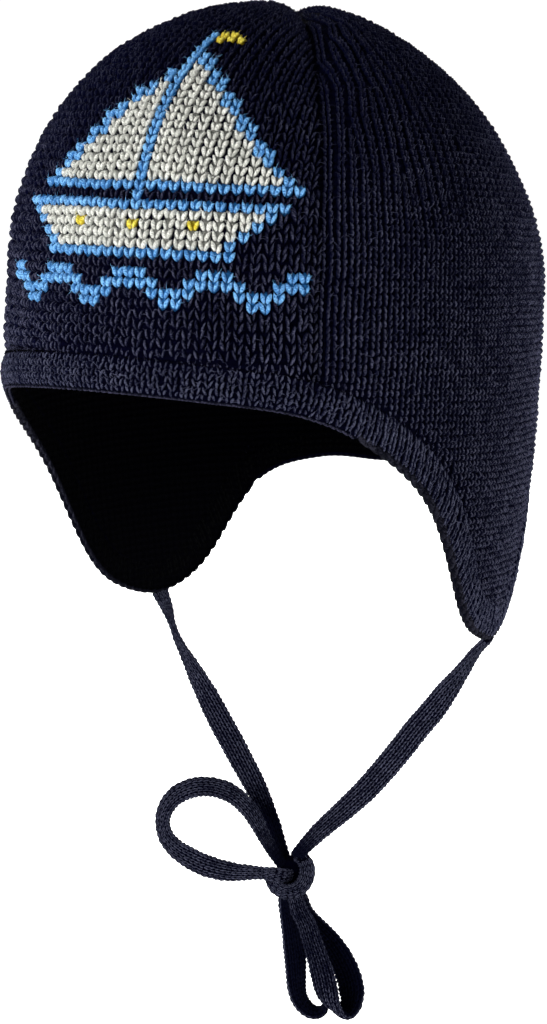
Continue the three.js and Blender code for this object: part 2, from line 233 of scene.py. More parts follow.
def inset_of(length, depth):
    """How far places on the flat cloth lie up from the edge, found in blocks to save memory."""
    feet = FLAT_EDGE[::4]
    places = np.stack([length, depth], axis=-1)
    blocks = np.array_split(places, max(1, len(places) // 400))
    near = [np.sqrt(((b[:, None] - feet[None]) ** 2).sum(axis=2)).min(axis=1) for b in blocks]
    return np.concatenate(near)


# %% [markdown]
# ## Meshes
# Knit could be a bump in a material, but its edge shows against the light, so its yarn is modelled.
# A patch is its points, its faces of four corners, its faces of three, and for each point where it
# lies on its yarn: how far along it, how far round it, and a random number for the leg it is on.

# %% Patches, legs and fibres
LEG_TURNS = (-25, 205)  # degrees of a leg's section that are modelled, from side to side over its top
LEG_SWELL = 0.7


def grid_patch(points, closed=False):
    """A patch from a grid of points, joined round its second direction if closed."""
    rows, columns = points.shape[:2]
    index = np.arange(rows * columns).reshape(rows, columns)
    if closed:
        index = np.concatenate([index, index[:, :1]], axis=1)
    corners = [index[:-1, :-1], index[1:, :-1], index[1:, 1:], index[:-1, 1:]]
    quads = np.stack([c.ravel() for c in corners], axis=1)
    return points.reshape(-1, 3), quads, np.empty((0, 3), int), np.zeros((rows * columns, 3))


def unit(vectors):
    """Vectors divided by their lengths."""
    return vectors / np.linalg.norm(vectors, axis=-1, keepdims=True)


def flipped(patch):
    """The patch with its faces turned over."""
    points, quads, tris, yarn = patch
    return points, quads[:, ::-1], tris[:, ::-1], yarn


def joined(patches):
    """Several patches as one, each one's corners counted on from the last."""
    sizes = np.cumsum([0] + [len(p[0]) for p in patches])[:-1]
    quads = np.concatenate([p[1] + n for p, n in zip(patches, sizes)])
    tris = np.concatenate([p[2] + n for p, n in zip(patches, sizes)])
    return (
        np.concatenate([p[0] for p in patches]),
        quads,
        tris,
        np.concatenate([p[3] for p in patches]),
    )


def legs(start, end, normal, half_width, height, dive, rings=3, sides=5, painted_shade=0.0):
    """Leaf-shaped yarn legs from start to end, open underneath, where cloth hides them.

    A leg's half width swells as sin(pi t)^LEG_SWELL, and its middle line lies "dive" deeper at its tips,
    by (2t - 1)^2. Its section is the upper part of an ellipse. The "yarn" of a point is how far it
    lies along its leg, from 0 to 1, its turn round it, and the leg's own random tone. Painted shade,
    a share from 0 to 1, pulls that tone down towards -0.75, black.
    """
    count = len(start)
    half_width = np.broadcast_to(half_width, count)[:, None, None, None]
    height = np.broadcast_to(height, count)[:, None, None, None]
    way = end - start
    length = np.linalg.norm(way, axis=1, keepdims=True)
    side = np.cross(normal, way / length)
    side = side / np.linalg.norm(side, axis=1, keepdims=True)
    t = np.arange(1, rings + 1) / (rings + 1)
    round_ = np.radians(np.linspace(*LEG_TURNS, sides))
    swell = np.sin(np.pi * t) ** LEG_SWELL
    sink = dive * np.abs(2 * t - 1) ** 2
    middle = start[:, None] + way[:, None] * t[:, None] - normal[:, None] * sink[:, None]
    across = side[:, None, None] * (half_width * (swell[:, None] * np.cos(round_))[None, :, :, None])
    upward = normal[:, None, None] * (height * (swell[:, None] * np.sin(round_))[None, :, :, None])
    body = (middle[:, :, None] + across + upward).reshape(count, rings * sides, 3)
    tips = np.stack([start - normal * dive, end - normal * dive], axis=1)
    points = np.concatenate([body, tips], axis=1)

    ring = np.arange(rings * sides).reshape(rings, sides)
    corners = [ring[:-1, :-1], ring[:-1, 1:], ring[1:, 1:], ring[1:, :-1]]
    quad = np.stack([c.ravel() for c in corners], axis=1)
    first, last = rings * sides, rings * sides + 1
    foot = np.stack([np.full(sides - 1, first), ring[0, 1:], ring[0, :-1]], axis=1)
    tip = np.stack([np.full(sides - 1, last), ring[-1, :-1], ring[-1, 1:]], axis=1)
    offset = (np.arange(count) * (rings * sides + 2))[:, None, None]
    quads = (quad[None] + offset).reshape(-1, 4)
    tris = (np.concatenate([foot, tip])[None] + offset).reshape(-1, 3)

    yarn = np.zeros((count, rings * sides + 2, 3))
    yarn[:, :-2, 0] = np.repeat(t, sides)[None]
    yarn[:, -1, 0] = 1
    yarn[:, :-2, 1] = np.tile(round_, rings)[None]
    # the leg's random tone, pulled down towards -0.75, black, by its share of painted shade
    yarn[:, :, 2] = ((1 - painted_shade) * rng.random(count) - 0.75 * painted_shade)[:, None]
    return points.reshape(-1, 3), quads, tris, yarn.reshape(-1, 3)


def fibres(point, normal, along, length, lift, width=0.07):
    """Loose fibre ends: thin bent blades that rise a little from their roots on the yarn."""
    count = len(point)
    turn = rng.normal(0, [[[0.8]], [[0.35]]], (2, count, 1))
    size = length * rng.uniform(0.5, 1.4, (count, 1))
    rise = lift * rng.uniform(0.1, 1.0, (2, count, 1))
    across = np.cross(normal, along)
    first = along * np.cos(turn[0]) + across * np.sin(turn[0])
    second = along * np.cos(turn[0] + turn[1]) + across * np.sin(turn[0] + turn[1])
    knee = point + first * size * 0.5 + normal * rise[0]
    tip = knee + second * size * 0.5 + normal * (rise[1] - 0.4 * lift)
    flat = np.cross(normal, first) * (width / 2)
    points = np.stack([point - flat, point + flat, knee + 0.8 * flat, knee - 0.8 * flat, tip], axis=1)
    offset = (np.arange(count) * 5)[:, None]
    yarn = np.zeros((count, 5, 3))
    # halfway along a leg and on its top: fibre ends take the full painted highlight
    yarn[:, :, 0] = 0.5
    yarn[:, :, 1] = np.pi / 2
    yarn[:, :, 2] = rng.random((count, 1))
    quads = np.array([[0, 1, 2, 3]]) + offset
    tris = np.array([[3, 2, 4]]) + offset
    return points.reshape(-1, 3), quads, tris, yarn.reshape(-1, 3)


# %% Pieces
def add_piece(name, groups, stands_for=()):
    """A mesh object from groups of (patch, material), riding on the hat."""
    points, quads, tris, yarn = joined([patch for patch, _ in groups])
    mesh = bpy.data.meshes.new(name)
    mesh.vertices.add(len(points))
    mesh.vertices.foreach_set("co", (points * MM).ravel())
    mesh.loops.add(quads.size + tris.size)
    mesh.loops.foreach_set("vertex_index", np.concatenate([quads.ravel(), tris.ravel()]))
    mesh.polygons.add(len(quads) + len(tris))
    starts = np.concatenate([np.arange(len(quads)) * 4, quads.size + np.arange(len(tris)) * 3])
    mesh.polygons.foreach_set("loop_start", starts)
    looks = [np.full(len(patch[k]), i) for k in (1, 2) for i, (patch, _) in enumerate(groups)]
    mesh.polygons.foreach_set("material_index", np.concatenate(looks))
    for _, material in groups:
        mesh.materials.append(material)
    mesh.attributes.new("yarn", "FLOAT_VECTOR", "POINT").data.foreach_set("vector", yarn.ravel())
    mesh.update(calc_edges=True)
    mesh.shade_smooth()
    piece = bpy.data.objects.new(name, mesh)
    bpy.context.scene.collection.objects.link(piece)
    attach(piece, "root")
    if stands_for:
        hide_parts(*stands_for)
    print(f"{name}: {2 * len(quads) + len(tris)} triangles")
    return piece


# %% [markdown]
# ## Materials
# The yarn is a soft wool mix. The eye gets its two twisted plies, fine fibres, legs that differ a
# little in shade, patches where the nap is raised, and a sheen of loose fibre ends. All of it is
# worked out from a point's place on its yarn, so no picture has to be fitted to the stitches. A
# highlight is painted along the crown of each leg, with painted shade down its sides and at its
# tips, and painted shade darkens the hat's crown.

# %% Colours and nodes
def linear(hex_colour):
    """An sRGB colour such as "#14182c" as the linear RGBA that shaders take."""
    values = np.array([int(hex_colour[i : i + 2], 16) / 255 for i in (1, 3, 5)])
    light = np.where(values <= 0.04045, values / 12.92, ((values + 0.055) / 1.055) ** 2.4)
    return (*light.tolist(), 1.0)


def new_material(name):
    """A material that holds one principled shader, and that shader."""
    material = bpy.data.materials.new(name)
    material.use_nodes = True
    nodes = material.node_tree.nodes
    nodes.clear()
    output = nodes.new("ShaderNodeOutputMaterial")
    shader = nodes.new("ShaderNodeBsdfPrincipled")
    material.node_tree.links.new(shader.outputs["BSDF"], output.inputs["Surface"])
    return material, shader


def fill(material, made, inputs):
    """Each input of a node linked to a socket or set to a value, in order or by name or number."""
    for key, value in inputs.items() if isinstance(inputs, dict) else enumerate(inputs):
        if isinstance(value, bpy.types.NodeSocket):
            material.node_tree.links.new(value, made.inputs[key])
        else:
            made.inputs[key].default_value = value


def node(material, kind, inputs=(), out=0, **settings):
    """One output of a new node that has its settings and its inputs."""
    made = material.node_tree.nodes.new("ShaderNode" + kind)
    for key, value in settings.items():
        setattr(made, key, value)
    fill(material, made, inputs)
    return made.outputs[out]


# %% Yarn
TWIST = 6.5  # radians that the plies turn along one leg of a stitch
PLIES = 3.0  # crests of ply in one turn round a leg
PLY_HEIGHT = 0.16 * MM
FIBRE_STRETCH = (4.5, 0.5, 90.0)  # of the fibres' noise, along a leg, round it and from leg to leg
PATCH = 9 * MM  # the size of the slow lighter and darker patches
CROWN_SHADE_TOP, CROWN_SHADE_LOW = -20 * MM, -100 * MM  # the heights over which the painted shade on the hat's crown fades out


def yarn_material(name, dark, light, sheen, sheen_colour="#8f9bc4", spread=2.0, crown_painted_light=1.0):
    """Spun yarn, with a painted highlight on the crown of each leg and painted shade down its sides and
    towards its tips.

    The light share is sin(around) to the highlight's power times sin(pi t), a painted highlight, times
    streaks of fibre, slow patches and plies, and times painted shade over the hat's crown: a share that
    rises from the given crown share on the crown to 1 at the rim.
    """
    material, shader = new_material(name)
    add = partial(node, material)
    place = add("Attribute", out="Vector", attribute_name="yarn")
    along, around, leg = add("SeparateXYZ", [place]).node.outputs
    twist = add("Math", [along, TWIST, around], operation="MULTIPLY_ADD")
    plies = add("Math", [add("Math", [twist, PLIES], operation="MULTIPLY")], operation="SINE")
    pairs = zip((along, twist, leg), FIBRE_STRETCH)
    on_yarn = add("CombineXYZ", [add("Math", pair, operation="MULTIPLY") for pair in pairs])
    hair = add("TexNoise", {"Vector": on_yarn, "Scale": 2.1, "Detail": 3.0, "Roughness": 0.75})
    streaks = add("MapRange", [hair, 0.42, 0.66, 0.0, 2.3])
    here = add("TexCoord", out="Object")
    slow = add("TexNoise", {"Vector": here, "Scale": 1 / PATCH, "Detail": 2.0, "Roughness": 0.6})
    patches = add("MapRange", [slow, 0.3, 0.7, 0.6, 1.3])
    # painted shade over the hat's crown, which fades out towards the rim
    crown_painted_shade = add("MapRange", [add("SeparateXYZ", [here], 2), CROWN_SHADE_TOP, CROWN_SHADE_LOW, crown_painted_light, 1.0])
    # painted highlight on the crown and in the middle of each leg, with painted shade down its sides and
    # at its tips
    crest = add("Math", [add("Math", [around], operation="SINE"), 0.0], operation="MAXIMUM")
    share = add("Math", [crest, spread], operation="POWER")
    middle = add("Math", [add("Math", [along, np.pi], operation="MULTIPLY")], operation="SINE")
    middle = add("Math", [middle, 0.0], operation="MAXIMUM")
    tone = add("Math", [leg, 1.1, 0.45], operation="MULTIPLY_ADD")
    tone = add("Math", [plies, 0.15, tone], operation="MULTIPLY_ADD")
    for factor in (middle, streaks, patches, crown_painted_shade, tone):
        share = add("Math", [share, factor], operation="MULTIPLY")
    height = add("Math", [plies, 0.35, streaks], operation="MULTIPLY_ADD")
    inputs = {
        "Base Color": add("Mix", {0: share, 6: linear(dark), 7: linear(light)}, 2, data_type="RGBA"),
        "Normal": add("Bump", {"Height": height, "Strength": 0.9, "Distance": PLY_HEIGHT}),
        "Roughness": 0.9,
        "Specular IOR Level": 0.02,
        "Sheen Weight": sheen,
        "Sheen Roughness": 0.4,
        "Sheen Tint": linear(sheen_colour),
    }
    fill(material, shader, inputs)
    return material


# %% Cloth, and all materials
GIRTH_RADIUS = 73.5
CLOTH_WALE, CLOTH_ROW = 2.85, 1.9


def cloth_material(name, dark, light):
    """The back of the knit: rows of small bumps, sin(wales round) 0.3 + sin(rows up) 0.4 + fibre noise."""
    material, shader = new_material(name)
    add = partial(node, material)
    here = add("TexCoord", out="Object")
    x, y, z = add("SeparateXYZ", [here]).node.outputs
    turn = add("Math", [y, x], operation="ARCTAN2")
    wales = add("Math", [turn, 2 * np.pi * GIRTH_RADIUS / CLOTH_WALE], operation="MULTIPLY")
    rows = add("Math", [z, 2 * np.pi / (CLOTH_ROW * MM)], operation="MULTIPLY")
    bumps = add("TexNoise", {"Vector": here, "Scale": 1 / (0.6 * MM), "Detail": 3.0, "Roughness": 0.7})
    for phase, share in ((rows, 0.4), (wales, 0.3)):
        wave = add("Math", [phase], operation="SINE")
        bumps = add("Math", [wave, share, bumps], operation="MULTIPLY_ADD")
    ramp = add("MapRange", [bumps, 0.0, 1.2, 0.0, 1.0])
    inputs = {
        "Base Color": add("Mix", {0: ramp, 6: linear(dark), 7: linear(light)}, 2, data_type="RGBA"),
        "Normal": add("Bump", {"Height": bumps, "Strength": 0.9, "Distance": 0.5 * MM}),
        "Roughness": 0.95,
        "Specular IOR Level": 0.01,
    }
    fill(material, shader, inputs)
    return material


NAVY = yarn_material("navy yarn", "#02031a", "#525369", 0.015, spread=3.4, crown_painted_light=0.2)
BAND_NAVY = yarn_material("navy band yarn", "#03041b", "#515368", 0.02, spread=3.0)
CORD_NAVY = yarn_material("navy cord yarn", "#030416", "#535569", 0.02, spread=2.8)
# the rope along the flaps' edge, of the same navy yarn painted darker: painted shade on the rolled edge
ROPE_NAVY_SHADED = yarn_material("navy rope yarn, painted shade", "#020208", "#22222c", 0.01, spread=3.0)
# the band's inner stitches, of the same navy yarn painted nearly black: painted shade inside the hat
INSIDE_SHADE_NAVY = yarn_material("navy yarn inside, painted shade", "#010102", "#040507", 0.0)
FUZZ_NAVY = yarn_material("navy fibre ends", "#0e1022", "#5b5d74", 0.04, crown_painted_light=0.3)
WHITE = yarn_material("off-white yarn", "#a9aaa2", "#f6f6ee", 0.1, "#ffffff", 0.6)
BLUE = yarn_material("blue yarn", "#2e6cae", "#8ac8fa", 0.1, "#cfe4ff", 0.6)
YELLOW = yarn_material("yellow yarn", "#b89f1c", "#fff268", 0.1, "#fff6c0", 0.7)
# darker copies of the picture's yarns, for the broad strands under its stitches: painted shade between the
# stitches
WHITE_BACK_SHADED = yarn_material("off-white yarn behind, painted shade", "#4c4d4b", "#75766f", 0.0)
BLUE_BACK_SHADED = yarn_material("blue yarn behind, painted shade", "#12385f", "#235a92", 0.0)
YELLOW_BACK_SHADED = yarn_material("yellow yarn behind, painted shade", "#5e500c", "#8d7a16", 0.0)
EDGE_YARN = yarn_material("light edge yarn", "#060612", "#45445a", 0.03)
# the back of the knit, of the same navy yarn painted near black: painted shade between and under the
# stitches, in the cords' tubes and in the knot's heart
CLOTH = cloth_material("navy cloth", "#010109", "#02020f")
# the inside of the hat, of the same navy yarn painted nearly black: painted shade
INSIDE_SHADE_CLOTH = cloth_material("navy cloth inside, painted shade", "#000001", "#010103")
print("materials made:", len(bpy.data.materials))

# %% [markdown]
# ## Gores
# Each gore is knitted flat and sewn to its neighbours. Its stitches could be copies of one stitch, but
# no two are quite alike, so each is made at its own place, from wales and rows.
# A wale is a column of stitches. On the front the wales run together a little towards the top, and the
# seams cut them off as the gore narrows. Elsewhere they run together more, and one after another ends
# where its stitches are decreased. Rows are counted up from the widest girth.

# %% The gores' numbers and cloth
SEAM_ANGLE = np.radians(47.9)
SEAM_DIP = 1.2
SEAM_REACH = 4.5
SEAM_TOP, SEAM_FADE, SEAM_MORE = 34, 18, 0.6  # above this depth the dip deepens by a share
SEAM_NIP = 1.1  # how much deeper the stitches beside a seam are pulled in
SEAM_NIP_REACH = 1.5
FRONT_WALE, FRONT_ROW = 3.1, 2.4
SIDE_WALE, SIDE_ROW = 3.3, 1.68
GATHER = 0.32
LAST_END = 0.88  # the first wale to end does so where its gore has shrunk to this share
END_RUN = 0.12
LEG_HEIGHT = 0.75
# The places and half width of a stitch's legs and how uneven they are, as shares of the wale, and
# how far they reach and how unlevel they are, as shares of the row. Above the depth "ribs" the two
# legs of a stitch draw together, and the wales stand apart like ribs.
FRONT_LOOK = {
    "foot": 0.08,
    "head": 0.39,
    "width": 0.135,
    "uneven": 0.04,
    "reach": 0.64,
    "level": 0.12,
    "dive": 0.7,
    "ribs": 30,
    "rings": 4,
}
SIDE_LOOK = {
    "foot": 0.17,
    "head": 0.32,
    "width": 0.125,
    "uneven": 0.025,
    "reach": 0.7,
    "level": 0.07,
    "dive": 0.75,
    "ribs": 60,
    "rings": 3,
}
PICTURE_LOOK = FRONT_LOOK | {"foot": 0.05, "head": 0.42, "width": 0.185, "uneven": 0.03, "level": 0.05}
CLOTH_DEPTH = 1.15  # of the dark cloth, below the stitches' crests
GROOVE_DIP = 0.9  # the gores are pulled in where the band is sewn on
GROOVE_REACH = 1.7
GROOVE_END, GROOVE_FADE = 138, 16  # the depth where it ends, and over how much it fades
FRONT_KNIT = {"wale": FRONT_WALE, "row": FRONT_ROW, "cut_off": True}
SIDE_KNIT = {"wale": SIDE_WALE, "row": SIDE_ROW, "cut_off": False}
GORES = {
    "crown_front": {"from": -SEAM_ANGLE, "to": SEAM_ANGLE} | FRONT_KNIT,
    "crown_left": {"from": SEAM_ANGLE, "to": np.pi - SEAM_ANGLE} | SIDE_KNIT,
    "crown_back": {"from": np.pi - SEAM_ANGLE, "to": np.pi + SEAM_ANGLE} | SIDE_KNIT,
    "crown_right": {"from": SEAM_ANGLE - np.pi, "to": -SEAM_ANGLE} | SIDE_KNIT,
}


def seam_depth(to_seam, depth):
    """How deep the cloth lies at a distance from a seam: a wide dip, deeper near the top, and a nip."""
    more = SEAM_MORE * np.clip((SEAM_TOP - depth) / SEAM_FADE, 0, 1)
    wide = SEAM_DIP * (1 + more) * np.exp(-((to_seam / SEAM_REACH) ** 2))
    return wide + SEAM_NIP * np.exp(-((to_seam / SEAM_NIP_REACH) ** 2))


def groove_depth(inset, depth):
    """The dip above the band, which fades out down the flaps."""
    fade = np.clip((GROOVE_END - depth) / GROOVE_FADE, 0, 1)
    return fade * GROOVE_DIP * np.exp(-(((inset - BAND_WIDTH) / GROOVE_REACH) ** 2))


def wrapped(length):
    """A girth length brought back between one nape and the other."""
    half = float(length_at(np.pi))
    return (length + half) % (2 * half) - half


def unevenness(point):
    """A few slow waves, because a knitted cloth is never quite smooth."""
    x, y, z = np.moveaxis(point, -1, 0)
    return 0.22 * np.sin(x / 7 + 1.3 * np.sin(z / 11)) * np.sin(z / 9 + y / 13)


def gore_cloth(gore):
    """The wall under the stitches, from the top down to the band: its outer side and its inner one."""
    columns, dome_rows, fall_rows = 30, 26, 16
    angles = np.linspace(gore["from"], gore["to"], columns)
    below = by_edge(np.linspace(0, EDGE_LENGTH, 900), BAND_WIDTH - 1.0)
    order = np.argsort(below[0])
    bottom = np.interp(wrapped(length_at(angles)), below[0][order], below[1][order])
    dome = CROWN_DEPTH * (1 - np.cos(np.linspace(0, np.pi / 2, dome_rows)))
    fall = np.linspace(0, 1, fall_rows)[1:, None]
    upper = np.repeat(dome[:, None], columns, axis=1)
    lower = CROWN_DEPTH + fall * (bottom - CROWN_DEPTH)
    depth = np.maximum(np.vstack([upper, lower]), TOP)
    angle = np.broadcast_to(angles, depth.shape)
    ends = length_at(np.array([gore["from"], gore["to"]]))
    here = length_at(angle)
    to_seam = np.minimum(here - ends[0], ends[1] - here) * section(angle, depth)[0]
    outer = shell(angle, depth, -CLOTH_DEPTH - seam_depth(to_seam, depth))[0]
    inner = shell(angle, depth, -WALL - 0.6 * seam_depth(to_seam, depth))[0]
    lip = np.stack([outer[-1], inner[-1]])
    return joined([grid_patch(outer), grid_patch(lip)]), flipped(grid_patch(inner))


def wale_spread(count, share, cut_off):
    """Middles and widths of a gore's wales where it has shrunk to a share of its greatest width.

    Wales that a seam cuts off narrow with that share to the power GATHER. Otherwise the shares where
    wales end are spread by the golden ratio, the other wales take the room, and the middle one never ends.
    """
    share = np.asarray(share)[..., None]
    index = np.arange(count) - count // 2
    if cut_off:
        pitch = share**GATHER / count
        return index * pitch, pitch * ((np.abs(index) - 0.4) * pitch < share / 2)
    ends = LAST_END * np.mod(0.15 + 0.618034 * index, 1) * (index != 0)
    width = np.clip((share - ends) / END_RUN, 0, 1)
    width = width * share / width.sum(axis=-1, keepdims=True)
    return np.cumsum(width, axis=-1) - width / 2 - share / 2, width


# %% The gores' stitches
def gore_stitches(gore):
    """Where a gore's stitches lie: the wale and row of each, its place, its axes and its room."""
    middle = (gore["from"] + gore["to"]) / 2
    breadth = float(length_at(gore["to"]) - length_at(gore["from"]))
    shape_angle = middle + (gore["to"] - middle) / 2
    centre = float(length_at(middle))
    count = 2 * int(round(breadth / gore["wale"] / 2 - 0.5)) + 1

    def shrunk(d):
        """The share of its greatest width that the gore has at a depth, 1 below the girth."""
        return np.where(d > CROWN_DEPTH, 1.0, np.minimum(section(shape_angle, d)[0], 1.0))

    # Fine steps near the top, where the section changes fast, then even ones to below the flaps' tips.
    depths = np.concatenate([np.geomspace(0.02, 12, 160), np.linspace(12.2, 168, 700)])
    share = shrunk(depths)
    cut_off = gore["cut_off"]
    middles, widths = wale_spread(count, share, cut_off)
    found = []
    for k in range(count):
        path = shell(angle_at(centre + breadth * middles[:, k] / share), depths)[0]
        climbed = lengths_along(path)
        climbed = np.interp(CROWN_DEPTH, depths, climbed) - climbed
        first_row = int(np.floor(climbed[-1] / gore["row"]))
        last_row = int(np.floor(climbed[widths[:, k] * count > 0.4].max() / gore["row"]))
        rows = np.arange(first_row, last_row + 1)
        depth = np.interp(-(rows + 0.5) * gore["row"], -climbed, depths)
        found.append(np.stack([np.full(len(rows), k), rows, depth], axis=1))
    column, row, depth = np.concatenate(found).T
    column = column.astype(int)
    depth = depth + rng.normal(0, 0.05, len(depth))
    each = np.arange(len(depth))
    step = 0.4

    def at(shift, rise, out=0.0):
        """The shell's point at a stitch, moved "shift" across the wale and "rise" up it."""
        d = np.maximum(depth - rise, 0.05)
        narrow = shrunk(d)
        offset = breadth * wale_spread(count, narrow, cut_off)[0][each, column]
        return shell(angle_at(centre + (offset + shift) / narrow), d, out)

    point, normal = at(0.0, 0.0)
    up = unit(at(0.0, step)[0] - at(0.0, -step)[0])
    side = at(step, 0.0)[0] - at(-step, 0.0)[0]
    side = unit(side - up * (side * up).sum(axis=1, keepdims=True))
    narrow = shrunk(depth)
    middles, widths = wale_spread(count, narrow, cut_off)
    offset = breadth * middles[each, column]
    room = widths[each, column] * count
    girth_length = wrapped(centre + offset / narrow)
    inset = inset_of(girth_length, depth)
    lowest = np.interp(girth_length, *[v[::4] for v in FLAT_EDGE.T])
    to_seam = breadth / 2 * narrow - np.abs(offset)
    kept = (inset > BAND_WIDTH - 0.7) & (depth < lowest)
    wale = column - count // 2
    values = (wale, row, depth, point, normal, up, side, inset, to_seam, room)
    names = ("wale", "row", "depth", "point", "normal", "up", "side", "inset", "to_seam", "room")
    return {name: value[kept] for name, value in zip(names, values)}


def drift(point, phase):
    """Slow sideways drift of the stitches, up to about a quarter of a millimetre."""
    x, y, z = np.moveaxis(point, -1, 0)
    return 0.24 * np.sin(x / 5.3 + z / 6.1 + phase) * np.sin(y / 7.7 - z / 8.9 + 2 * phase)


def stitch_legs(s, chosen, gore, look, fluff=1):
    """Both legs of each chosen stitch, and loose fibre ends on them.

    A stitch is a V whose foot comes out from under the stitch below.
    """
    wale, row = gore["wale"] * s["room"][chosen], gore["row"]
    made = []
    loose = []
    count = int(chosen.sum())
    point, normal, up, side = (s[k][chosen] for k in ("point", "normal", "up", "side"))
    sunk = groove_depth(s["inset"][chosen], s["depth"][chosen]) - unevenness(point)
    sunk = sunk + rng.normal(0, 0.07, count)
    point = point + side * drift(point, 0.4)[:, None] + up * drift(point, 2.1)[:, None]
    uneven = look["uneven"] * wale
    drawn = 1 - 0.3 * np.clip((look["ribs"] - s["depth"][chosen]) / 14, 0, 1)
    tilt = rng.normal(0, uneven, count)
    for hand in (-1, 1):
        lean = rng.normal(0, uneven, (2, count))
        foot = hand * look["foot"] * wale * drawn + lean[0] - tilt
        head = hand * look["head"] * wale * drawn + lean[1] + tilt
        to_seam = s["to_seam"][chosen] - hand * np.sign(s["wale"][chosen]) * 0.22 * wale
        kept = to_seam > 0.12 * wale
        deep = (sunk + seam_depth(np.maximum(to_seam, 0), s["depth"][chosen]) + LEG_HEIGHT)[:, None]
        middle = (point - normal * deep)[kept]
        rise = rng.normal(0, look["level"] * row, (len(middle), 1))
        start = middle + side[kept] * foot[kept, None] - up[kept] * (look["reach"] * row + rise)
        end = middle + side[kept] * head[kept, None] + up[kept] * (look["reach"] * row - rise)
        size = rng.normal(1, 0.1, len(middle))
        half_width = look["width"] * wale[kept] * size
        height = LEG_HEIGHT * size
        made.append(legs(start, end, normal[kept], half_width, height, look["dive"], look["rings"]))
        way = unit(end - start)
        for _ in range(fluff):
            place = rng.uniform(0.25, 0.75, (len(middle), 1))
            root = start + (end - start) * place + normal[kept] * (0.75 * LEG_HEIGHT)
            loose.append(fibres(root, normal[kept], way, 1.5, 0.3, 0.05))
    return joined(made), joined(loose)


def backing(s, chosen, gore):
    """Broad strands under the chosen stitches, where the picture's yarn fills the gaps between them."""
    point, normal, up = (s[k][chosen] for k in ("point", "normal", "up"))
    middle = point - normal * (LEG_HEIGHT + 0.3)
    start = middle - up * (0.7 * gore["row"])
    end = middle + up * (0.7 * gore["row"])
    return legs(start, end, normal, 0.5 * gore["wale"] * s["room"][chosen], 0.35, 0.1, 3, 4)


# %% [markdown]
# The front gore carries a knitted-in sailing boat on waves. A painted picture would cross the
# stitches, so the yarn of each stitch is worked out from its wale and row. Rows are counted from the
# band here.

# %% The chart
BAND_TOP_ROW = -8  # the first row above the band, counted from the girth
BOAT_WALE = 3
HULL_ROW = 10
MAST_TOP = 38


def sail(across, row, foot, top, breadth):
    """Inside and outline of a three-cornered sail that stands on row foot beside the mast."""
    leech = breadth * (top - row) / (top - foot)
    inside = (row >= foot) & (row <= top) & (across >= 1) & (across <= leech)
    outline = inside & ((across > leech - 1.3) | (row < foot + 1))
    return inside, outline


def boat_chart(wale, row):
    """The yarn of each stitch: 0 navy, 1 white, 2 blue, 3 yellow."""
    x = wale - BOAT_WALE
    colour = np.zeros(len(wale), int)
    swell = 6 + np.round(1.1 * np.cos(2 * np.pi * x / 7))
    colour[(row >= swell) & (row <= swell + 1) & (np.abs(x) <= 14)] = 2
    hull_half = 8 + 0.9 * (row - HULL_ROW)
    hull = (row >= HULL_ROW) & (row <= HULL_ROW + 5) & (np.abs(x) <= hull_half)
    colour[hull] = 1
    rim = hull & ((np.abs(x) > hull_half - 1.4) | (row == HULL_ROW) | (row == HULL_ROW + 5))
    colour[rim] = 2
    colour[hull & (row == HULL_ROW + 3) & np.isin(x, (-5, 0, 5))] = 3
    for side, top, breadth in ((1, MAST_TOP - 2, 13), (-1, MAST_TOP - 5, 10)):
        inside, outline = sail(side * x, row, HULL_ROW + 7, top, breadth)
        colour[inside] = 1
        colour[outline] = 2
    colour[(x == 0) & (row > HULL_ROW + 5) & (row <= MAST_TOP)] = 2
    colour[(row >= MAST_TOP - 1) & (row <= MAST_TOP) & (x >= 1) & (x <= 3 + (MAST_TOP - 1 - row))] = 3
    return colour


# %% The gores made
for name, gore in GORES.items():
    stitches = gore_stitches(gore)
    outer, inner = gore_cloth(gore)
    add_piece(name + "_cloth", [(outer, CLOTH), (inner, INSIDE_SHADE_CLOTH)], (name,))
    if name == "crown_front":
        chart = boat_chart(stitches["wale"], stitches["row"] - BAND_TOP_ROW)
        yarns = (
            ("stitches", "knit_navy", NAVY, FUZZ_NAVY, None),
            ("white", "knit_white", WHITE, WHITE, WHITE_BACK_SHADED),
            ("blue", "knit_blue", BLUE, BLUE, BLUE_BACK_SHADED),
            ("yellow", "knit_yellow", YELLOW, YELLOW, YELLOW_BACK_SHADED),
        )
        for number, (word, slot, material, fuzz, back) in enumerate(yarns):
            look, fluff = (PICTURE_LOOK, 3) if back else (FRONT_LOOK, 1)
            made, loose = stitch_legs(stitches, chart == number, gore, look, fluff)
            groups = [(made, material), (loose, fuzz)]
            if back:
                groups.append((backing(stitches, chart == number, gore), back))
            add_piece(f"{name}_{word}", groups)
    else:
        every = np.ones(len(stitches["wale"]), bool)
        made, loose = stitch_legs(stitches, every, gore, SIDE_LOOK)
        add_piece(name + "_stitches", [(made, NAVY), (loose, FUZZ_NAVY)])

# %% [markdown]
# ## Band
# The band is picked up along the edge and knitted double. Its wales stand across the edge. On the
# flaps they are drawn apart into small ribs, and the edge itself is bumpy there like a rope. It is a
# body swept along the edge with stitches laid on it, because that keeps to the solid's size.

# %% The band's parts
BAND_PROUD = 0.6
BAND_INSIDE = 0.4
BAND_ROWS = 5
BAND_ROW = 1.75
BAND_WALE = 2.8
BAND_LEG = 0.6  # the height of a leg of its stitches
ROPE_PITCH = 3.2
FLAP_STARTS = (104, 128)  # the edge's depth where a flap starts, from the brow and from the nape
FLAP_FADE = 10
BROW_SHARE = 0.36  # of the edge's length, to each side of the brow's middle


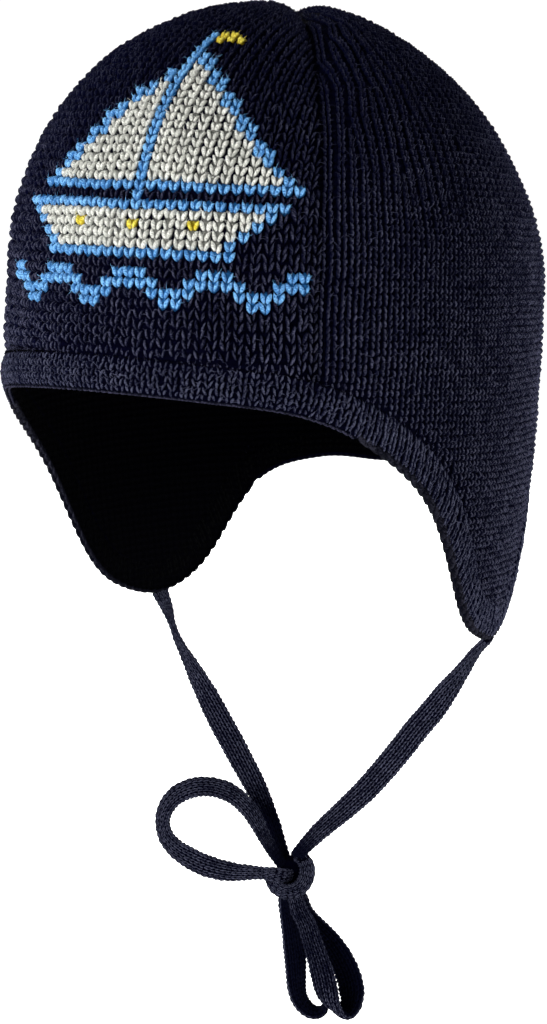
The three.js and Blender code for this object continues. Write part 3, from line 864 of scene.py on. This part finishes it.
def band_section(turns):
    """The band's body in its own section, a squarish oval: (inset, out) for turns round it."""
    c, s = np.cos(turns), np.sin(turns)
    power = 0.5
    inset = BAND_WIDTH / 2 - (BAND_WIDTH / 2 - 0.35) * np.sign(c) * np.abs(c) ** power
    low, high = -WALL - BAND_INSIDE + 0.5, BAND_PROUD - 0.95
    out = (low + high) / 2 + (high - low) / 2 * np.sign(s) * np.abs(s) ** power
    return inset, out


def band_point(along, inset, out):
    """Points and normals by place along the edge, inset up from it and distance out of the shell."""
    length, depth = by_edge(along, inset)
    return shell(angle_at(length), depth, out)


def on_flap(along):
    """0 over brow and nape, 1 on the flaps, by the depth of the edge."""
    depth = np.interp(np.mod(along, EDGE_LENGTH), EDGE_LENGTHS, FLAT_EDGE[:, 1])
    front = np.abs(np.mod(along, EDGE_LENGTH) - EDGE_LENGTH / 2) < EDGE_LENGTH * BROW_SHARE
    return np.clip((depth - np.where(front, *FLAP_STARTS)) / FLAP_FADE, 0, 1)


def band_body(first, last):
    """The part of the band's body between two turns round its section."""
    stations = np.linspace(0, EDGE_LENGTH, 420)[:-1]
    inset, out = band_section(np.radians(np.arange(first, last + 1, 20)))
    points = band_point(stations[:, None], inset[None], out[None])[0]
    return grid_patch(np.concatenate([points, points[:1]]))


def band_legs(face):
    """The stitches of the band's outer face (1) or inner face (-1).

    Over the brow they are small and uneven. On the flaps each wale is drawn into a narrow rib that
    leans towards the crown, and its stitches are long and nearly straight.
    """
    count = int(round(EDGE_LENGTH / BAND_WALE))
    pitch = EDGE_LENGTH / count
    along, row = np.meshgrid((np.arange(count) + 0.5) * pitch, np.arange(BAND_ROWS), indexing="ij")
    along, row = along.ravel(), row.ravel()
    flap = on_flap(along)
    wave = 0.35 * np.sin(along / 3.7) * np.sin(along / 9.1 + 1)
    fall = np.interp(np.mod(along, EDGE_LENGTH), EDGE_LENGTHS, EDGE_DIRECTION[:, 1])
    made = []
    loose = []
    for hand in (-1, 1):
        jitter = rng.normal(0, 0.1, (4, len(along)))
        jitter[:2] *= 2 - flap
        foot_along = along + hand * (0.08 + 0.05 * flap) * pitch + jitter[0]
        head_along = along + hand * (0.38 - 0.14 * flap) * pitch + jitter[1]
        low = np.maximum(0.3 + BAND_ROW * row - (0.2 + 0.25 * flap) * BAND_ROW + wave * 0.4, 0.15)
        high = 0.3 + BAND_ROW * row + (1.2 + 0.25 * flap) * BAND_ROW + wave * 0.4
        ends = []
        for where, inset in ((foot_along, low), (head_along, high)):
            where = where - 0.75 * flap * fall * inset
            arch = 1.3 * np.abs((inset - BAND_WIDTH / 2) / (BAND_WIDTH / 2)) ** 4
            arch = np.where(inset > BAND_WIDTH / 2, arch * (1 - 0.8 * flap), arch)
            top = BAND_PROUD - arch if face > 0 else WALL + BAND_INSIDE - arch - 0.2
            ends.append(band_point(where, inset, face * (top - BAND_LEG) + jitter[2] * 0.9))
        normal = unit(face * (ends[0][1] + ends[1][1]))
        half_width = (0.15 - 0.01 * flap) * pitch * (1 + jitter[3])
        made.append(legs(ends[0][0], ends[1][0], normal, half_width, BAND_LEG, 0.5))
        root = (ends[0][0] + ends[1][0]) / 2 + normal * (0.75 * BAND_LEG)
        loose.append(fibres(root, normal, unit(ends[1][0] - ends[0][0]), 1.7, 0.35))
    return joined(made), joined(loose)


def edge_chain(flaps):
    """The cast-on edge: a fine chain along the brow and nape, and a rope of fat turns on the flaps."""
    pitch, half_width, height = (ROPE_PITCH, 0.95, 0.95) if flaps else (1.9, 0.36, 0.45)
    count = int(round(EDGE_LENGTH / pitch))
    pitch = EDGE_LENGTH / count
    along = np.arange(count) * pitch
    along = along[(on_flap(along) > 0.5) == flaps]
    made = []
    for row, out in ((0, -0.75), (1, -1.7)):
        low = along + 0.5 * pitch * row
        reach = 0.95 if flaps else 0.62
        start, before = band_point(low - reach * pitch, 1.3 * flaps + 0.4 - 0.25 * row, out + 0.5 * flaps)
        end, after = band_point(low + reach * pitch, 0.1 + 0.1 * row, out - 0.5 * flaps)
        down = -np.stack([np.zeros(len(low)), np.zeros(len(low)), np.ones(len(low))], axis=1)
        normal = unit((before + after) * (0.45 - 0.3 * row) + down)
        made.append(legs(start, end, normal, half_width, height, 0.3 + 0.4 * flaps))
    return joined(made)


def running_stitches():
    """Short light stitches in the groove above the band, over the brow."""
    half = float(length_at(SEAM_ANGLE))
    along = EDGE_LENGTH / 2 + np.arange(-half, -0.1 * half, BAND_WALE)
    start, before = band_point(along - 0.75, BAND_WIDTH + 0.25, -0.75)
    end, after = band_point(along + 0.75, BAND_WIDTH + 0.05, -0.75)
    return legs(start, end, (before + after) / 2, 0.24, 0.32, 0.3)


# %% The band made
# the band's inner side takes the nearly black painted shade of the hat's inside
body = [(band_body(-40, 220), CLOTH), (band_body(220, 320), INSIDE_SHADE_CLOTH)]
add_piece("edge_band_cloth", body, ("edge_band",))
made, loose = band_legs(1)
add_piece("edge_band_stitches", [(made, BAND_NAVY), (loose, FUZZ_NAVY)])
add_piece("edge_band_inside_shaded", [(band_legs(-1)[0], INSIDE_SHADE_NAVY)])
edges = [(edge_chain(True), ROPE_NAVY_SHADED), (edge_chain(False), EDGE_YARN), (running_stitches(), EDGE_YARN)]
add_piece("edge_band_chain", edges)

# %% [markdown]
# ## Cords
# Each cord is a flat knitted strip. Hung by a simulation it would fall another way each time, so its
# rows give its middle line in the bow's own frame, its width, and how far its flat side is turned
# from the bow's front.

# %% The cords' routes
CORD_WIDTH = 7.4
CORD_THICKNESS = 2.6
CORD_WALES = 10
CORD_ROW = 1.5
CORD_SKIN = 0.5
CORD_LEG_WIDTH, CORD_LEG_HEIGHT = 0.31, 0.45
KNOT_CENTRE = np.array([-5.5, 6.5, -236.5])
BOW_TURN = np.radians(35.2)

# The columns of each cord's rows: its place, its width and its turn in degrees.
CORD_COLUMNS = ("x", "y", "z", "width", "turn")

TIE_LEFT = [
    (52.3, -33, 73.4, 5.2, -69),
    (49.1, -30, 69.3, 5.6, -60),
    (45.7, -27, 63.5, 6.4, -42),
    (42, -24, 57.4, 7.2, -20),
    (38.3, -21, 51.2, 7.4, -5),
    (33.9, -18, 45, 7.4, 0),
    (29.9, -15, 38.7, 7.4, 0),
    (25.5, -12, 32.4, 7.2, 5),
    (20.7, -9.3, 26.1, 7, 8),
    (14.9, -6.5, 19.7, 6.4, 10),
    (8.9, -4, 13.6, 5.6, 15),
    (3.7, -1.5, 7.5, 4.6, 20),
    (1.5, 0, 4.2, 4, 20),
]
TIE_RIGHT = [
    (-37.1, 34.6, 73.6, 6, -41),
    (-34.9, 33.6, 68.4, 5.8, -62),
    (-33.5, 32.2, 64.3, 5.6, -88),
    (-31.6, 30.1, 59.6, 5.8, -110),
    (-28.7, 27.5, 54.5, 6.4, -130),
    (-25.6, 24.5, 49.3, 7, -150),
    (-22.6, 21.5, 44.2, 7.4, -165),
    (-19.6, 18.5, 39.1, 7.4, -175),
    (-16.5, 15.5, 34.1, 7.4, -180),
    (-13.5, 12.5, 29.1, 7.2, -180),
    (-10.4, 9.5, 24, 7, -175),
    (-7.7, 7, 18.9, 6.4, -170),
    (-4.9, 4.6, 12.7, 5.4, -168),
    (-2.6, 3.2, 6.7, 4.2, -172),
    (-1, 2, 2.5, 4, -175),
]
LOOP_RIGHT = [
    (-1.8, -0.8, 2.2, 3.6, 30),
    (-4.4, -2.2, 6.3, 3.8, 35),
    (-7, -3.6, 11.3, 4.8, 45),
    (-9.3, -5, 16.4, 5.6, 45),
    (-12.3, -5, 20.7, 6.2, 45),
    (-16.5, -5, 24.2, 6.6, 48),
    (-22.1, -4.5, 25.8, 7, 52),
    (-28, -4, 25, 7.2, 52),
    (-32.5, -3.5, 22, 7.2, 55),
    (-35, -3, 17.3, 7.4, 60),
    (-34.7, -3.5, 12.6, 7.4, 52),
    (-32, -4, 8.5, 7.4, 35),
    (-27.6, -4.5, 5.5, 7.4, 20),
    (-22.6, -5, 3.2, 7.2, 10),
    (-16.5, -5.5, 1.9, 6.2, 5),
    (-11, -5.8, 1.7, 4.6, 0),
    (-6.8, -5.2, 1.4, 3.8, -10),
    (-3, -3.5, 0.8, 3.6, -10),
]
LOOP_LEFT = [
    (1.2, -2.5, -3.1, 4.6, 0),
    (1.7, -3.5, -6.5, 5, 0),
    (2.7, -4, -9.8, 5.4, 0),
    (4.6, -4.3, -13.2, 5.8, 5),
    (5.9, -4.5, -17.4, 6, 8),
    (7.6, -4.6, -22.6, 6.5, 10),
    (9, -4.5, -27.5, 7.3, 12),
    (10.1, -4.2, -32.3, 7.6, 20),
    (11.5, -3.2, -36.7, 7.6, 48),
    (14.4, -1, -40.5, 7.4, 88),
    (17.1, 1.4, -39.7, 7.4, 130),
    (17.5, 2.8, -35.5, 7.8, 168),
    (16.6, 3.4, -31, 7.8, 172),
    (14.3, 3.6, -25.8, 7.8, 172),
    (11.1, 3.6, -20.8, 7.2, 170),
    (7.5, 3.2, -16.4, 6.4, 165),
    (4.4, 2.4, -11.8, 5.4, 155),
    (3, 1.4, -6.3, 4.6, 140),
]
TAIL = [
    (-1.7, -1, -3.5, 4.4, 135),
    (-1.4, -0.6, -7.7, 4.6, 142),
    (-0.7, -0.2, -11.3, 5.4, 145),
    (0.2, 0.2, -15.4, 6.4, 146),
    (0.9, 0.6, -20.2, 7.2, 146),
    (1.6, 0.9, -24.9, 7.4, 150),
    (1.8, 1.2, -29.7, 7.2, 146),
    (2.1, 1.7, -34.2, 7, 138),
    (3.5, 2.8, -38.7, 6.8, 124),
    (6.8, 4.4, -41.7, 6.8, 110),
    (10, 6.2, -41.3, 6.8, 84),
    (10.9, 7.6, -37.6, 6.6, 50),
    (9.9, 8.4, -33.2, 6.4, 25),
    (8.1, 8.6, -28, 6.2, 12),
    (6.2, 8.2, -22.6, 5.8, 10),
    (4.4, 7.4, -17.1, 5, 12),
]


# %% A cord's strip and stitches
def from_bow(vectors):
    """Vectors of the bow's frame turned into the hat's."""
    c, s = np.cos(BOW_TURN), np.sin(BOW_TURN)
    x, y, z = np.moveaxis(np.asarray(vectors, float), -1, 0)
    return np.stack([x * c - y * s, x * s + y * c, z], axis=-1)


def faces_by_turn(way, turn):
    """The flat side's normal: the bow's front, square to the way, turned about it."""
    front = np.array([0.0, -1.0, 0.0])
    square = unit(front - way * (way @ front)[:, None])
    turn = np.radians(turn)[:, None]
    return np.cos(turn) * square + np.sin(turn) * np.cross(way, square)


def strip_from(rows, facing=None):
    """A flat cord's middle line with its axes and width at even steps of about 0.25 mm.

    The flat side looks where the rows' turn says, or away from the bow's centre where facing says so.
    """
    samples = (len(rows) - 1) * 60 + 1
    table = dict(zip(CORD_COLUMNS, zip(*rows)))
    points = curve_through(np.transpose([table[k] for k in "xyz"]), samples)
    run = lengths_along(points)
    even = np.linspace(0, run[-1], int(run[-1] / 0.25) + 1)
    at = np.interp(even, run, np.linspace(0, len(rows) - 1, samples))
    points = np.stack([np.interp(even, run, points[:, k]) for k in range(3)], axis=1)
    way = unit(np.gradient(points, axis=0))
    width = np.interp(at, np.arange(len(rows)), table["width"])
    if facing is None:
        face = faces_by_turn(way, np.interp(at, np.arange(len(rows)), table["turn"]))
    else:
        away = points - facing
        face = unit(away - way * (away * way).sum(axis=1, keepdims=True))
    return {
        "run": even,
        "points": KNOT_CENTRE + from_bow(points),
        "way": from_bow(way),
        "face": from_bow(face),
        "across": from_bow(np.cross(way, face)),
        "width": width,
    }


def strip_section(turns, width, thickness):
    """A flat oval, squarer than an ellipse: places and outward directions (across, face)."""
    power = 0.72
    c, s = np.cos(turns), np.sin(turns)
    x = width / 2 * np.sign(c) * np.abs(c) ** power
    y = thickness / 2 * np.sign(s) * np.abs(s) ** power
    nx, ny = c / width, s / thickness
    size = np.hypot(nx, ny)
    return x, y, nx / size, ny / size


def even_turns(count):
    """Turns round the section that part its girth evenly."""
    fine = np.linspace(0, 2 * np.pi, 721)
    x, y, _, _ = strip_section(fine, CORD_WIDTH, CORD_THICKNESS)
    run = lengths_along(np.stack([x, y], axis=1))
    return np.interp(np.arange(count + 1) / count * run[-1], run, fine)


def strip_point(strip, run, turns, out, thickness=CORD_THICKNESS):
    """Points and outward normals on a strip, at a run along it and turns round its section."""
    def at(values):
        """Values of the strip's stations, read off at the runs."""
        return np.stack([np.interp(run, strip["run"], values[:, k]) for k in range(3)], axis=-1)

    width = np.interp(run, strip["run"], strip["width"])
    x, y, nx, ny = strip_section(turns, width, thickness)
    across, face = at(strip["across"]), at(strip["face"])
    normal = unit(across * nx[..., None] + face * ny[..., None])
    point = at(strip["points"]) + across * x[..., None] + face * y[..., None]
    return point + normal * np.asarray(out)[..., None], normal


def strip_body(strip, thickness=CORD_THICKNESS):
    """The dark tube under a strip's stitches, closed at both ends."""
    rings = int(strip["run"][-1] / 1.1)
    run = np.linspace(0, strip["run"][-1], rings)[:, None]
    turns = np.linspace(0, 2 * np.pi, 17)[None, :-1]
    run, turns = np.broadcast_arrays(run, turns)
    points = strip_point(strip, run, turns, -CORD_SKIN, thickness)[0]
    first = np.broadcast_to(points[0].mean(axis=0), points[0].shape)
    last = np.broadcast_to(points[-1].mean(axis=0), points[-1].shape)
    return flipped(grid_patch(np.concatenate([first[None], points, last[None]]), closed=True))


def strip_stitches(strip, thickness=CORD_THICKNESS, wales=CORD_WALES, painted_shade=(), inside=0.0):
    """Chains of Vs along every wale of a strip, all the way round it.

    Painted shade darkens the cord where other parts of the bow hide it from the light, by (run, share)
    pairs, and on its inner side, by the share "inside".
    """
    count = int(strip["run"][-1] / CORD_ROW)
    row = strip["run"][-1] / count
    turns = even_turns(wales * 100)
    rows, columns = np.meshgrid(np.arange(count), np.arange(wales), indexing="ij")
    rows, columns = rows.ravel(), columns.ravel()
    room = np.interp((rows + 0.5) * row, strip["run"], strip["width"]) / CORD_WIDTH
    made = []
    for hand in (-1, 1):
        jitter = rng.normal(0, 0.05, (4, len(rows)))
        ends = []
        for shift, rise in ((0.08, -0.3), (0.38, 1.3)):
            place = np.mod((columns + 0.5 + hand * shift) * 100 + 4 * jitter[0], wales * 100)
            turn = np.interp(place, np.arange(wales * 100 + 1), turns)
            run = np.clip((rows + rise) * row + 0.5 * jitter[1], 0, strip["run"][-1])
            ends.append(strip_point(strip, run, turn, -CORD_SKIN - 0.02 + jitter[2], thickness))
        # painted shade on the inner side of a loop, and where other parts of the bow hide the cord from
        # the light
        inner = inside * np.clip(-2 * np.sin(turn) - 0.5, 0, 1)
        dark = np.interp(run, *zip(*painted_shade)) if painted_shade else np.zeros(len(run))
        dark = 1 - (1 - dark) * (1 - inner)
        normal = unit(ends[0][1] + ends[1][1])
        half_width = CORD_LEG_WIDTH * (0.35 + 0.65 * room) * (1 + jitter[3])
        made.append(legs(ends[0][0], ends[1][0], normal, half_width, CORD_LEG_HEIGHT, 0.4, 3, 4, dark))
    return joined(made)


# %% The cords and the knot made
# Each cord's pairs of run along it, in mm, and share paint shade on it where other parts of the bow hide
# it from the light; "inside" paints shade on the inner side of a loop.
CORDS = {
    "tie_left": {"rows": TIE_LEFT, "length": 0.092, "far_end": "knot", "painted_shade": ((82, 0), (90, 0.8))},
    "tie_right": {"rows": TIE_RIGHT, "length": 0.085, "far_end": "knot", "painted_shade": ((62, 0), (74, 0.85))},
    "bow_loop_right": {
        "rows": LOOP_RIGHT,
        "length": 0.09,
        "far_end": "knot",
        "painted_shade": ((4, 0.85), (18, 0.2), (26, 0)),
    },
    "bow_loop_left": {
        "rows": LOOP_LEFT,
        "length": 0.083,
        "far_end": "knot",
        "painted_shade": ((0, 0.1), (10, 0.5), (36, 0.4)),
        "inside": 0.9,
    },
    "bow_tail": {
        "rows": TAIL,
        "length": 0.071,
        "far_end": "bare",
        "painted_shade": ((34, 0), (42, 0.4), (50, 0.9)),
        "inside": 0.9,
    },
}

# The knot: short strips of the same cord wrapped round each other, in the same columns but for the turn.
KNOT_WRAPS = [
    [
        (1.2, 1.5, 4.2, 4.2),
        (3.4, -0.8, 4.6, 4.8),
        (4.9, -2, 2.2, 5.4),
        (4.7, -3, -0.6, 5.6),
        (3, -4.2, -3, 5.6),
        (0, -4.8, -4.2, 5.4),
        (-3, -4.4, -3.6, 5.2),
        (-5, -3, -1.6, 5),
        (-5, -0.5, 0.6, 4.6),
    ],
    [
        (-7.6, -5.6, 1.5, 3.8),
        (-5.6, -6, 1.4, 4.4),
        (-3.6, -5.8, 1, 4.8),
        (-1.8, -5, 0.5, 4.6),
        (-0.4, -3.4, 0.2, 4),
        (0.4, -1.4, 0, 3.6),
    ],
    [
        (-4.6, 2.2, -0.4, 5),
        (-2.4, 4, -0.8, 5),
        (0.6, 4.4, -1, 5),
        (3.4, 3.8, -0.6, 5),
        (4.8, 1.8, 0, 5),
    ],
]
KNOT_SIZE = (3.8, 3.2, 4.6)  # the half sizes of its heart
KNOT_SHIFT = (0.2, 0.4, 0.2)  # its heart's middle, from the bow's centre
KNOT_BACK = np.array([0.0, 6.0, 0.0])  # the point that its wraps look away from


def knot_core():
    """The dark heart of the knot, so that no light comes through between its wraps."""
    rise, turn = np.meshgrid(np.linspace(-np.pi / 2, np.pi / 2, 9), np.linspace(0, 2 * np.pi, 15)[:-1])
    unit_ball = (np.cos(turn) * np.cos(rise), np.sin(turn) * np.cos(rise), np.sin(rise))
    ball = np.stack([a * b for a, b in zip(KNOT_SIZE, unit_ball)], axis=-1) + KNOT_SHIFT
    return flipped(grid_patch(np.moveaxis(KNOT_CENTRE + from_bow(ball), 0, 1), closed=True))


def knot_groups():
    """The knot's dark heart and its wraps, whose flat sides look away from a point behind it."""
    groups = [(knot_core(), CLOTH)]
    for rows in KNOT_WRAPS:
        strip = strip_from(rows, facing=KNOT_BACK)
        groups.append((strip_body(strip), CLOTH))
        groups.append((strip_stitches(strip), CORD_NAVY))
    return groups


knot = add_piece("bow_knot_wraps", knot_groups(), ("bow_knot",))
for name, cord in CORDS.items():
    strip = strip_from(cord["rows"])
    stitches = strip_stitches(strip, painted_shade=cord["painted_shade"], inside=cord.get("inside", 0.0))
    groups = [(strip_body(strip), CLOTH), (stitches, CORD_NAVY)]
    piece = add_piece(name + "_cord", groups, (name,))
    print(name, "length", round(float(strip["run"][-1]), 1), "mm")

# %% [markdown]
# ## Floor and light
# A pale floor lies below the bow. The light comes from the upper left, with white all round. Two
# weaker lights behind the hat draw its edges and keep its back from going black.

# %% The floor, the world and the lights
FLOOR_Z = -300.0
FLOOR_RADIUS = 6.0  # metres


def make_floor():
    """A pale disk that shines a little by itself, so that it stays near white."""
    centre = (0, 0, FLOOR_Z * MM)
    bpy.ops.mesh.primitive_circle_add(vertices=64, radius=FLOOR_RADIUS, fill_type="NGON", location=centre)
    floor = bpy.context.object
    floor.name = "floor"
    material, shader = new_material("pale floor")
    glow = {"Emission Color": linear("#ffffff"), "Emission Strength": 0.85}
    fill(material, shader, {"Base Color": linear("#fcfcfc"), "Roughness": 0.8} | glow)
    floor.data.materials.append(material)


def make_light(name, place, aim, size, watts):
    """A white round lamp at a place, turned so that its z axis points back from what it aims at."""
    data = bpy.data.lights.new(name, "AREA")
    data.shape = "DISK"
    data.size = size
    data.energy = watts
    light = bpy.data.objects.new(name, data)
    bpy.context.scene.collection.objects.link(light)
    back = unit(np.array(place, float) - np.array(aim, float))
    right = unit(np.cross([0.0, 0.0, 1.0], back))
    turn = Matrix(np.stack([right, np.cross(back, right), back], axis=1).tolist()).to_4x4()
    light.matrix_world = Matrix.Translation(place) @ turn


def make_world():
    """White at the horizon and grey overhead: 0.2 + 0.88 (1 - z)^6, with z the ray's rise."""
    world = bpy.data.worlds.new("white room")
    world.use_nodes = True
    background = world.node_tree.nodes["Background"]
    background.inputs["Color"].default_value = linear("#ffffff")
    add = partial(node, world)
    rise = add("SeparateXYZ", [add("TexCoord", out="Generated")], 2)
    above = add("Math", [rise, 0.02], operation="SUBTRACT")
    above = add("Math", [above, 0.0], operation="MAXIMUM")
    low = add("Math", [1.0, above], operation="SUBTRACT")
    glow = add("Math", [low, 6.0], operation="POWER")
    glow = add("Math", [glow, 0.88, 0.2], operation="MULTIPLY_ADD")
    world.node_tree.links.new(glow, background.inputs["Strength"])
    bpy.context.scene.world = world


make_floor()
make_world()
make_light("left", (-0.12, -1.17, 0.3), (0, 0, -0.1), 0.5, 20)
make_light("right", (0.75, 0.7, 0.05), (0, 0, -0.15), 0.5, 11)
make_light("rim", (-0.85, 0.75, 0.2), (0, 0, -0.1), 0.5, 12)
bpy.context.scene.view_settings.view_transform = "Standard"
